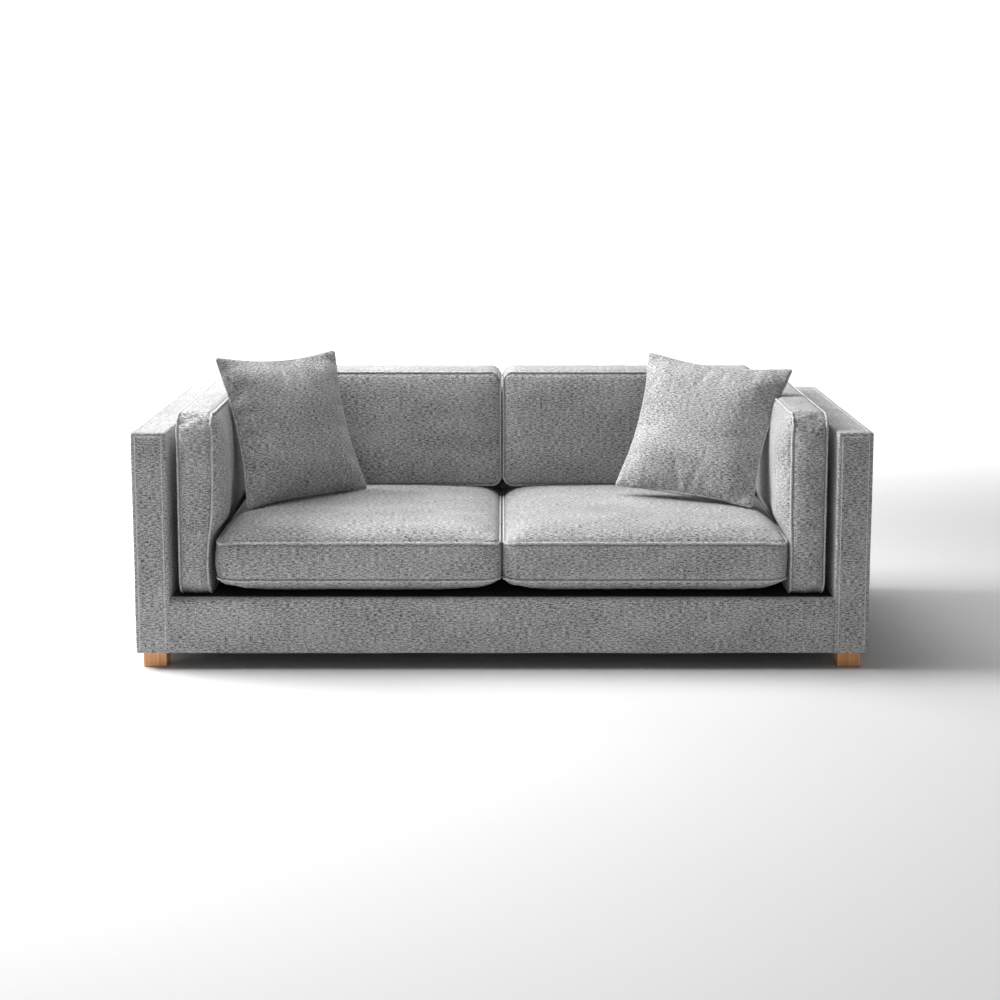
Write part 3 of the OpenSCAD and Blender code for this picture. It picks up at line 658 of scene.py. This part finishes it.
def stuffed(piece, axis, rises, bulge, fulls, pressure=5.0):
    """Blows the net up, levels the swelling and scales it. rises and fulls are for the low and high end."""
    flat = places(piece)
    sewn = np.zeros(len(flat))
    for edge in piece.data.edges:
        if edge.use_seam:
            sewn[list(edge.vertices)] = 1.0
    blow_up(piece, sewn, pressure, 18, 0.01)
    moved = places(piece) - flat
    made = flat.copy()
    on_panel = np.zeros(len(flat), bool)
    ends = (flat[:, axis].min(), flat[:, axis].max())
    for end, way, rise, full in zip(ends, (-1, 1), rises, fulls):
        panel = np.abs(flat[:, axis] - end) < 1e-5
        on_panel |= panel
        swell = np.clip(moved[panel, axis] * way, 0, None)
        share = swell / max(swell.max(), 1e-9)
        made[panel, axis] += way * rise * (1 - np.exp(-full * share)) / (1 - math.exp(-full))
    outward = moved.copy()
    outward[:, axis] = 0
    reach = np.abs(outward[~on_panel]).max() if (~on_panel).any() else 0
    if reach > 1e-6:
        made[~on_panel] += outward[~on_panel] * bulge / reach
    print(piece.name, "swelled by", round(float(np.abs(moved).max()), 4), "m")
    put(piece, made)
    piece.vertex_groups.clear()


def seam_distance(piece):
    """For each vertex, how far it is from the nearest seam, in metres."""
    spots = places(piece)
    sewn = np.unique([v for e in piece.data.edges if e.use_seam for v in e.vertices])
    return np.min([np.linalg.norm(spots - spots[s], axis=1) for s in sewn], axis=0)


def copy_piece(piece, name, move=(0, 0, 0)):
    """A copy with its own mesh, moved in its mesh."""
    take(piece)
    bpy.ops.object.duplicate()
    twin = bpy.context.object
    twin.name = twin.data.name = name
    put(twin, places(twin) + np.array(move))
    return twin


def relax(piece, hollow, pucker):
    """Soft hollows on the panels and small puckers along the seams."""
    away = seam_distance(piece)
    weigh(piece, "panel", np.clip(away / 0.12, 0, 1))
    weigh(piece, "by_seam", np.exp(-(away / 0.045) ** 2) * np.clip(away / 0.012, 0, 1))
    uneven(piece, hollow, 0.26, "panel")
    uneven(piece, pucker, 0.032, "by_seam")
    piece.vertex_groups.clear()


def meet(seat, scatter, foot, ceiling):
    """Raises the seat's crown by up to 14 mm under a cushion's foot, short of the zip on it."""
    spots = places(seat)
    away = seam_distance(seat)
    feet = places(scatter)[foot]
    apart = np.linalg.norm(spots[:, None, :2] - feet[None, :, :2], axis=2)
    nearest = apart.argmin(axis=1)
    goal = np.minimum(feet[nearest, 2] - 0.009, ceiling)
    lift = np.clip(goal - spots[:, 2], 0, 0.014) * np.exp(-(apart.min(axis=1) / 0.07) ** 2)
    on_top = np.clip((spots[:, 2] - (ceiling - 0.06)) / 0.01, 0, 1)
    lift *= on_top * np.clip(away / 0.06, 0, 1)
    spots[:, 2] += lift
    put(seat, spots)
    print(seat.name, "raised by up to", round(float(lift.max()), 4), "m")


def fill_cover(piece, name, body, finish, node):
    """The filling: the cover's own shape, a little smaller all round."""
    filling = copy_piece(piece, name)
    pick(filling, "faces", lambda f: True)
    bpy.ops.mesh.mark_seam(clear=True)
    bpy.ops.transform.shrink_fatten(value=-0.0035)
    take(filling)
    filling.data.materials.clear()
    filling.data.materials.append(finish)
    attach(filling, body)
    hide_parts(node)
    return filling


def finish_cushion(piece, body, shift, radius=0.0038):
    """Subdivides, pipes the seams and hands both pieces to their CAD body."""
    lay = piece.data.uv_layers[0]
    spots = np.zeros(len(lay.data) * 2)
    lay.data.foreach_get("uv", spots)
    lay.data.foreach_set("uv", spots + np.tile(shift, len(lay.data)))
    smooth_finer(piece)
    cord_piece = pipe_seams(piece, piece.name.replace("cushion_cover", "cushion_piping"), radius)
    # The stitching draws the cloth in under the piping
    pick(piece, "edges", lambda e: e.seam)
    bpy.ops.transform.shrink_fatten(value=-0.0045)
    take(piece)
    for made in (piece, cord_piece):
        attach(made, body)
    return piece


# %% [markdown]
# ### Seat cushions
#
# Two deep foam cushions. The border between the seams is 118 mm high; the top panel crowns 54 mm
# above it and the underside sags 49 mm below. The rear border, where the zip is, stays flat.

# %% Seat cushions
SEAT_CROWN, SEAT_BELLY, SEAT_CORNER, TAPE_PROUD = 0.054, 0.049, 0.034, 0.0008
low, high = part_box("left_seat_cover")
seat_low = Vector((low.x, low.y, low.z + SEAT_BELLY))
seat_high = Vector((high.x, high.y - TAPE_PROUD, high.z - SEAT_CROWN))
first_seat = boxed_net("left_seat_cushion_cover", seat_low, seat_high, 2, SEAT_CORNER, 0.022)
lay_cloth(first_seat, upholstery)
stuffed(first_seat, 2, (SEAT_BELLY, SEAT_CROWN), 0.011, (6.0, 3.1))
seats = {"left": first_seat}
seats["right"] = copy_piece(first_seat, "right_seat_cushion_cover",
                            (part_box("right_seat_cover")[0].x - low.x, 0, 0))
for side, seat in seats.items():
    relax(seat, 0.008, 0.0022)
    back_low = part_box(f"{side}_back_cover")[0]
    box_low, box_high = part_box(f"{side}_seat_cover")
    spots = places(seat)
    # Flat on the deck, pressed down by the back cushion, clear of what stands beside it
    spots[:, 2] = np.clip(spots[:, 2], box_low.z, box_high.z)
    under = np.clip((spots[:, 1] - (back_low.y - 0.03)) / 0.05, 0, 1)
    ceiling = box_high.z + under * (back_low.z - 0.002 - box_high.z)
    spots[:, 2] = np.minimum(spots[:, 2], ceiling)
    spots[:, 1] = np.clip(spots[:, 1], box_low.y - 0.008, seat_high.y)
    # The side cushion gives way a little beside the seat; the other seat does not
    give = (0.011, 0.001) if side == "left" else (0.001, 0.003)
    spots[:, 0] = np.clip(spots[:, 0], box_low.x - give[0], box_high.x + give[1])
    put(seat, spots)
    finish_cushion(seat, f"{side}_seat_cushion", (0.0, 0.0) if side == "left" else (0.413, 0.277))
    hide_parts(f"{side}_seat_cover")
    filling = fill_cover(seat, f"{side}_seat_filling", f"{side}_seat_cushion", foam,
                         f"{side}_seat_core")
print("seat cushions", [len(s.data.polygons) for s in seats.values()], "faces each")

# %% [markdown]
# ### Back cushions
#
# Softer cushions filled with fibre that stand on the seats. The front swells by 22 mm, and the
# rear lies flat against the back frame.

# %% Back cushions
BACK_CROWN, BACK_CORNER = 0.022, 0.036
low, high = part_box("left_back_cover")
back_net_low = Vector((low.x, low.y + BACK_CROWN, low.z))
back_net_high = Vector((high.x, high.y - TAPE_PROUD, high.z))
first_back = boxed_net("left_back_cushion_cover", back_net_low, back_net_high, 1, BACK_CORNER, 0.022)
lay_cloth(first_back, upholstery)
stuffed(first_back, 1, (BACK_CROWN, 0.0), 0.008, (2.4, 2.4))
backs = {"left": first_back}
backs["right"] = copy_piece(first_back, "right_back_cushion_cover",
                            (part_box("right_back_cover")[0].x - low.x, 0, 0))
for side, cushion in backs.items():
    relax(cushion, 0.008, 0.002)
    box_low, box_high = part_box(f"{side}_back_cover")
    spots = places(cushion)
    spots[:, 0] = np.clip(spots[:, 0], box_low.x - 0.001, box_high.x + 0.001)
    spots[:, 1] = np.minimum(spots[:, 1], back_net_high.y)
    spots[:, 2] = np.clip(spots[:, 2], box_low.z, box_high.z + 0.006)
    put(cushion, spots)
    finish_cushion(cushion, f"{side}_back_cushion", (0.3, 0.9) if side == "left" else (0.83, 0.15))
    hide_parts(f"{side}_back_cover")
    filling = fill_cover(cushion, f"{side}_back_filling", f"{side}_back_cushion", fibre,
                         f"{side}_back_core")
print("back cushions done")

# %% [markdown]
# ### Side cushions
#
# Upright cushions inside the arms. Only the upper part of the inner face is free, so it swells
# there and stays flat beside the seat.

# %% Side cushions
SIDE_CROWN, SIDE_CORNER = 0.025, 0.04
SQUEEZE = {"left": 0.019, "right": 0.002}  # how far the seat presses the inner face outwards
sides = {}
for side, way in (("left", -1), ("right", 1)):
    low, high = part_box(f"{side}_side_cover")
    inner = (high.x - SIDE_CROWN) if way < 0 else (low.x + SIDE_CROWN)
    outer = (low.x + TAPE_PROUD) if way < 0 else (high.x - TAPE_PROUD)
    net_low = Vector((min(inner, outer), low.y, low.z))
    net_high = Vector((max(inner, outer), high.y, high.z))
    if way < 0:
        cushion = boxed_net(f"{side}_side_cushion_cover", net_low, net_high, 0, SIDE_CORNER, 0.022)
        lay_cloth(cushion, upholstery)
        stuffed(cushion, 0, (0.0, SIDE_CROWN), 0.018, (2.0, 2.0))
    else:
        cushion = copy_piece(sides["left"], f"{side}_side_cushion_cover")
        spots = places(cushion)
        spots[:, 0] *= -1
        put(cushion, spots)
        pick(cushion, "faces", lambda f: True)
        bpy.ops.mesh.flip_normals()
        take(cushion)
    sides[side] = cushion
for side, cushion in sides.items():
    relax(cushion, 0.007, 0.002)
    way = -1 if side == "left" else 1
    box_low, box_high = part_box(f"{side}_side_cover")
    spots = places(cushion)
    outer_side = abs(box_low.x if way < 0 else box_high.x)
    beside_seat = np.clip((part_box(f"{side}_seat_cover")[1].z - spots[:, 2]) / 0.05, 0, 1)
    face = box_low.x + SIDE_CROWN if way > 0 else box_high.x - SIDE_CROWN
    reach = (face - spots[:, 0]) * way
    spots[:, 0] += np.clip(reach, 0, None) * beside_seat * way
    inward = np.clip((outer_side - spots[:, 0] * way) / (outer_side - face * way), 0, 1)
    spots[:, 0] += way * inward * SQUEEZE[side] * np.exp(-((spots[:, 2] - 0.31) / 0.13) ** 2)
    full_front = np.clip((-0.24 - spots[:, 1]) / 0.1, 0, 1)
    spots[:, 0] -= way * np.clip(reach, 0, None) * (1 - beside_seat) * 0.75 * full_front
    outer_face = (box_high.x - TAPE_PROUD) if way > 0 else (box_low.x + TAPE_PROUD)
    spots[:, 0] = np.minimum(spots[:, 0], outer_face) if way > 0 else np.maximum(spots[:, 0], outer_face)
    spots[:, 1] = np.clip(spots[:, 1], box_low.y - 0.017, box_high.y + 0.002)
    spots[:, 2] = np.clip(spots[:, 2], box_low.z, box_high.z + 0.004)
    put(cushion, spots)
    finish_cushion(cushion, f"{side}_side_cushion", (0.6, 0.3) if way < 0 else (0.05, 0.72))
    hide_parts(f"{side}_side_cover")
    filling = fill_cover(cushion, f"{side}_side_filling", f"{side}_side_cushion", fibre,
                         f"{side}_side_core")
print("side cushions done")

# %% [markdown]
# ### Scatter cushions
#
# Two square panels sewn edge to edge with a thin piping. Stuffing draws the sides in and leaves
# the corners standing out as ears. The seam is laid out on that drawn-in outline and held, and the
# panels, which have a little cloth to spare, are blown up between it, so that soft folds run in
# from the edges. The foot is straight, because the zip stiffens it.

# %% Scatter cushions
PILLOW, PILLOW_THICK, PILLOW_FOOT, PILLOW_PULL = 0.48, 0.15, 0.226, 0.025
half = PILLOW / 2
pillow = block("pillow_net", (-half, -0.004, -half), (half, 0.004, half))
pick(pillow, "edges", lambda e: abs(e.verts[0].co.y - e.verts[1].co.y) > 0.001)
bpy.ops.mesh.bevel(offset=0.012, segments=3, affect="EDGES")
net(pillow, 0.0145, (0, 2))
net(pillow, 0.004, (1,))
pick(pillow, "edges", lambda e: all(near(v.co.y, 0) for v in e.verts))
bpy.ops.mesh.mark_seam()
lay_cloth(pillow, upholstery)
spots = places(pillow)
across, upward = spots[:, 0] / half, spots[:, 2] / half
drawn = np.where(upward > 0, PILLOW_PULL, half - PILLOW_FOOT)
spots[:, 0] -= spots[:, 0] / half * PILLOW_PULL * (1 - upward ** 2)
spots[:, 2] -= upward * drawn * (1 - across ** 2)
put(pillow, spots)
sewn = np.zeros(len(spots))
sewn[np.unique([v for e in pillow.data.edges if e.use_seam for v in e.vertices])] = 1.0
panel = np.sign(spots[:, 1])
blow_up(pillow, sewn, 6.0, 24, 0.03)
grown = places(pillow)
rise = np.clip((grown - spots)[:, 1] * panel, 0, None)
print("scatter cushion swelled by", round(float(rise.max()), 4), "m")
share = rise / rise.max()
levelled = (1 - np.exp(-0.7 * share)) / (1 - math.exp(-0.7))
grown[:, 1] = spots[:, 1] + panel * levelled * (PILLOW_THICK / 2 - 0.004)
sideways = np.clip(grown - spots, -0.006, 0.006)
grown[:, 0], grown[:, 2] = spots[:, 0] + sideways[:, 0], spots[:, 2] + sideways[:, 2]
put(pillow, grown)
pillow.vertex_groups.clear()

POSE = {
    # side: turn about Z, lean about X, roll about Y, and from the box's middle to the cushion's middle
    "left": (42, 17, 0, (0.0019, -0.0018, -0.0054)),
    "right": (-23, 25, 4, (0.0, 0.0, -0.0054)),
}
EARS = {
    # corner as (right, top) seen from the front: (move to the right, move up)
    "left": {(-1, 1): (-0.008, 0.014), (1, 1): (-0.026, 0.0),
             (-1, -1): (0.010, 0.008), (1, -1): (0.0, 0.008)},
    "right": {(-1, 1): (0.022, -0.011), (1, 1): (0.030, -0.009),
              (-1, -1): (0.006, 0.006), (1, -1): (-0.012, 0.005)},
}
pillow_place = {}
for side, (turn, lean, roll, off) in POSE.items():
    low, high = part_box(f"{side}_pillow_cover")
    scatter = copy_piece(pillow, f"{side}_scatter_cushion_cover")
    place = Matrix.Translation((low + high) / 2 + Vector(off)) @ Matrix.Rotation(math.radians(turn), 4, "Z") \
        @ Matrix.Rotation(math.radians(-lean), 4, "X") @ Matrix.Rotation(math.radians(roll), 4, "Y")
    pillow_place[side] = place
    if side == "right":
        turned = places(scatter)
        put(scatter, turned * [-1, -1, 1])
    # Each ear flops its own way: how far the four corners move, in the cushion's own width and height
    spots = places(scatter)
    u, w = spots[:, 0] / half, spots[:, 2] / half
    for (right, top), (aside, up) in EARS[side].items():
        share = (1 + right * u) * (1 + top * w) / 4
        spots[:, 0] += share * aside
        spots[:, 2] += share * up
    put(scatter, spots)
    relax(scatter, 0.008, 0.002)
    scatter.data.transform(place)
    meet(seats[side], scatter, w < -0.9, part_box(f"{side}_seat_cover")[1].z + 0.004)
    body = f"{side}_pillow_cushion"
    finish_cushion(scatter, body, (0.12, 0.55) if side == "left" else (0.7, 0.05), 0.0022)
    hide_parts(f"{side}_pillow_cover")
    filling = fill_cover(scatter, f"{side}_pillow_filling", f"{side}_pillow_cushion", fibre,
                         f"{side}_pillow_core")
bpy.data.objects.remove(pillow)
print("scatter cushions done")

# %% [markdown]
# ## Zips
#
# Every loose cover comes off, so each has a zip: a woven tape, a coil of small teeth along its
# middle, and a slider with a pull. One of each is modelled, lying along X and facing +Y, and
# copied to its place.


# %% Zip parts
def zip_line(name, length, width):
    """Tape and teeth for one zip, along X from the middle, facing +Y, its back at y = 0."""
    tape = block(name, (-length / 2, 0.0, -width / 2), (length / 2, 0.0005, width / 2))
    pick(tape, "edges", lambda e: abs(e.verts[0].co.x - e.verts[1].co.x) > 0.1)
    bpy.ops.mesh.bevel(offset=0.0002, segments=1, affect="EDGES")
    pick(tape, "faces", lambda f: f.normal.y > 0.9)
    bpy.ops.mesh.inset(thickness=0.0012)
    take(tape)
    tape.data.materials.clear()
    tape.data.materials.append(zip_tape_cloth)
    pitch = 0.0025
    tooth = block(name + "_teeth", (-length / 2, 0.0004, -0.0016), (-length / 2 + pitch * 0.6, 0.0009, 0.0016))
    pick(tooth, "faces", lambda f: f.normal.y > 0.9)
    bpy.ops.mesh.inset(thickness=0.0003)
    take(tooth)
    bpy.ops.object.modifier_add(type="ARRAY")
    row = tooth.modifiers[-1]
    row.use_relative_offset, row.use_constant_offset = False, True
    row.constant_offset_displace = (pitch, 0, 0)
    row.count = int(length / pitch)
    bpy.ops.object.modifier_apply(modifier=row.name)
    tooth.data.materials.clear()
    tooth.data.materials.append(zip_metal)
    return tape, tooth


def zip_slider(name):
    """Slider and pull tab, along X, facing +Y: the body 14 by 9 by 2.6 mm, the pull's end at +24 mm."""
    body = block(name, (-0.007, 0.0, -0.0045), (0.007, 0.0026, 0.0045))
    pick(body, "edges", lambda e: abs(e.verts[0].co.y - e.verts[1].co.y) > 0.001)
    bpy.ops.mesh.bevel(offset=0.002, segments=3, affect="EDGES")
    net(body, 0.0035, (0,))
    pick(body, "verts", lambda v: v.co.x > 0.003)
    bpy.ops.transform.resize(value=(1, 1, 0.72), center_override=(0.007, 0, 0))
    pick(body, "faces", lambda f: f.normal.y > 0.9)
    bpy.ops.mesh.inset(thickness=0.0008)
    take(body)
    bridge = block("bridge", (-0.003, 0.0016, -0.0009), (0.0035, 0.0026, 0.0009))
    pull = block("pull", (0.0025, 0.0010, -0.0022), (0.024, 0.0018, 0.0022))
    pick(pull, "edges", lambda e: abs(e.verts[0].co.y - e.verts[1].co.y) > 0.0004 and e.verts[0].co.x > 0.02)
    bpy.ops.mesh.bevel(offset=0.0018, segments=4, affect="EDGES")
    pick(pull, "faces", lambda f: abs(f.normal.y) > 0.9)
    bpy.ops.mesh.inset(thickness=0.0006)
    take(body, bridge, pull)
    bpy.ops.object.join()
    body.data.materials.clear()
    body.data.materials.append(zip_metal)
    bpy.ops.object.shade_smooth_by_angle(angle=math.radians(35))
    return body


first_slider = zip_slider("zip_slider")
print("slider faces", len(first_slider.data.polygons))

# %% Zips in their places
LIE = {
    # cushion: how the zip's own X, Y and Z turn into the sofa's
    "seat": Matrix.Identity(4),
    "back": Matrix.Identity(4),
    "left_side": Matrix(((0, -1, 0, 0), (-1, 0, 0, 0), (0, 0, -1, 0), (0, 0, 0, 1))),
    "right_side": Matrix(((0, 1, 0, 0), (-1, 0, 0, 0), (0, 0, 1, 0), (0, 0, 0, 1))),
}
SLIDER_UP = 0.0011
ZIP_LENGTH = {"seat": 0.6872, "back": 0.6872, "side": 0.6464, "pillow": 0.384}
for kind in ("seat", "back", "side", "pillow"):
    width = 0.009 if kind == "pillow" else 0.014
    for side in ("left", "right"):
        low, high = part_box(f"{side}_{kind}_zip_slider")
        if kind == "pillow":
            turn = pillow_place[side] @ Matrix.Translation((0, 0, -PILLOW_FOOT)) \
                @ Matrix.Rotation(-math.pi / 2, 4, "X")
            tape_at = turn
        else:
            turn = LIE.get(kind, LIE.get(f"{side}_{kind}"))
            middle = (low + high) / 2
            along, up = turn @ Vector((1, 0, 0)), turn @ Vector((0, 1, 0))
            # The slider's box runs from 7 mm behind its middle to 24 mm ahead of it
            centre = middle - along * 0.0085 - up * (0.0013 + SLIDER_UP)
            tape_at = Matrix.Translation(centre + along * (ZIP_LENGTH[kind] / 2 - 0.014)) @ turn
        body = f"{side}_{kind}_cushion"
        for part in zip_line(f"{side}_{kind}_zip_tape", ZIP_LENGTH[kind], width):
            part.data.transform(tape_at)
            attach(part, body)
        slider = copy_piece(first_slider, f"{side}_{kind}_zip_pull")
        slider.data.transform(tape_at @ Matrix.Translation((-ZIP_LENGTH[kind] / 2 + 0.014, SLIDER_UP, 0)))
        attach(slider, f"{side}_{kind}_zip")
        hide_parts(f"{side}_{kind}_zip_slider")
bpy.data.objects.remove(first_slider)
print("zips done")

# %% Leave nothing selected
take()
